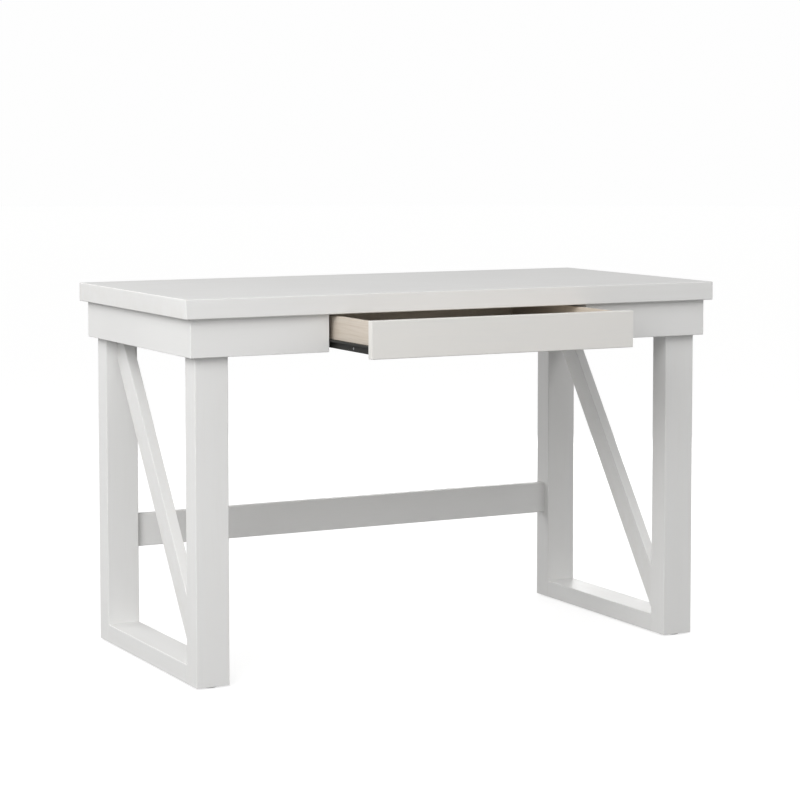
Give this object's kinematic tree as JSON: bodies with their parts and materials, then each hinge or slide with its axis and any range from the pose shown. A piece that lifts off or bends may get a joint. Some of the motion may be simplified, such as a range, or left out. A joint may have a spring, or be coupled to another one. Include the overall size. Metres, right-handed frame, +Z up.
{
  "type": "writing desk",
  "caption": "White writing desk: thick top on a box apron, closed end frames with diagonal braces, a rear stretcher and a shallow centre drawer on roller slides.",
  "frame": {"origin": "on the floor, at the middle of the ground that the desk covers with its drawer open as stored; the middle of the tabletop is 85 mm behind it", "axes": "+X to the sitter's right along the tabletop, +Y to the back of the desk, +Z up"},
  "size_m": [1.219, 0.767, 0.768],
  "materials": {
    "white_paint": "satin white paint on smooth boards, faint brush marks and eased edges",
    "drawer_wood": "pale straight-grained wood under a thin clear lacquer",
    "drawer_panel": "thin pale wood-faced board, matt",
    "dowel_wood": "bare turned beech, matt",
    "black_steel": "black satin coating on rolled steel",
    "zinc_steel": "bright zinc plating, slightly dulled",
    "nylon": "natural off-white nylon, satin",
    "glide_plastic": "grey moulded plastic, matt"
  },
  "bodies": {
    "desk": {"tabletop": "white_paint", "rear_apron": "white_paint", "front_apron_left": "white_paint", "side_apron_left": "white_paint", "drawer_partition_left": "white_paint", "front_apron_right": "white_paint", "side_apron_right": "white_paint", "drawer_partition_right": "white_paint", "left_bottom_rail": "white_paint", "left_top_rail": "white_paint", "left_diagonal_brace": "white_paint", "left_front_post": "white_paint", "left_front_glide": "glide_plastic", "left_front_bracket": "zinc_steel", "left_front_top_bolt": "zinc_steel", "left_front_rail_bolt": "zinc_steel", "left_rear_post": "white_paint", "left_rear_glide": "glide_plastic", "left_rear_bracket": "zinc_steel", "left_rear_top_bolt": "zinc_steel", "left_rear_rail_bolt": "zinc_steel", "right_bottom_rail": "white_paint", "right_top_rail": "white_paint", "right_diagonal_brace": "white_paint", "right_front_post": "white_paint", "right_front_glide": "glide_plastic", "right_front_bracket": "zinc_steel", "right_front_top_bolt": "zinc_steel", "right_front_rail_bolt": "zinc_steel", "right_rear_post": "white_paint", "right_rear_glide": "glide_plastic", "right_rear_bracket": "zinc_steel", "right_rear_top_bolt": "zinc_steel", "right_rear_rail_bolt": "zinc_steel", "stretcher": "white_paint", "stretcher_cam_left": "zinc_steel", "stretcher_cam_pin_left": "zinc_steel", "cabinet_slide_left": "black_steel", "stretcher_cam_right": "zinc_steel", "stretcher_cam_pin_right": "zinc_steel", "cabinet_slide_right": "black_steel"},
    "drawer": {"drawer_front": "white_paint", "drawer_back": "drawer_wood", "drawer_bottom": "drawer_panel", "drawer_side_left": "drawer_wood", "drawer_slide_left": "black_steel", "drawer_lower_dowel_left": "dowel_wood", "drawer_upper_dowel_left": "dowel_wood", "drawer_side_right": "drawer_wood", "drawer_slide_right": "black_steel", "drawer_lower_dowel_right": "dowel_wood", "drawer_upper_dowel_right": "dowel_wood"},
    "cabinet_roller_left": {"cabinet_roller_left": "nylon"},
    "drawer_roller_left": {"drawer_roller_left": "nylon"},
    "cabinet_roller_right": {"cabinet_roller_right": "nylon"},
    "drawer_roller_right": {"drawer_roller_right": "nylon"}
  },
  "joints": [
    {"name": "drawer_slide", "type": "slide", "parent": "desk", "child": "drawer", "axis": [0, -1, 0], "range_m": [-0.184, 0.155]},
    {"name": "cabinet_roller_left_spin", "type": "hinge", "parent": "desk", "child": "cabinet_roller_left", "pos_m": [-0.29075, -0.1695, 0.6695], "axis": [1, 0, 0], "range_deg": [-1515, 1275]},
    {"name": "drawer_roller_left_spin", "type": "hinge", "parent": "drawer", "child": "drawer_roller_left", "pos_m": [-0.29075, 0.0705, 0.6695], "axis": [1, 0, 0], "range_deg": [-1515, 1275]},
    {"name": "cabinet_roller_right_spin", "type": "hinge", "parent": "desk", "child": "cabinet_roller_right", "pos_m": [0.29075, -0.1695, 0.6695], "axis": [1, 0, 0], "range_deg": [-1515, 1275]},
    {"name": "drawer_roller_right_spin", "type": "hinge", "parent": "drawer", "child": "drawer_roller_right", "pos_m": [0.29075, 0.0705, 0.6695], "axis": [1, 0, 0], "range_deg": [-1515, 1275]}
  ],
  "couplings": [
    {"joint": "cabinet_roller_left_spin", "follows": "drawer_slide", "rad_per_m": 142.86},
    {"joint": "drawer_roller_left_spin", "follows": "drawer_slide", "rad_per_m": 142.86},
    {"joint": "cabinet_roller_right_spin", "follows": "drawer_slide", "rad_per_m": 142.86},
    {"joint": "drawer_roller_right_spin", "follows": "drawer_slide", "rad_per_m": 142.86}
  ]
}
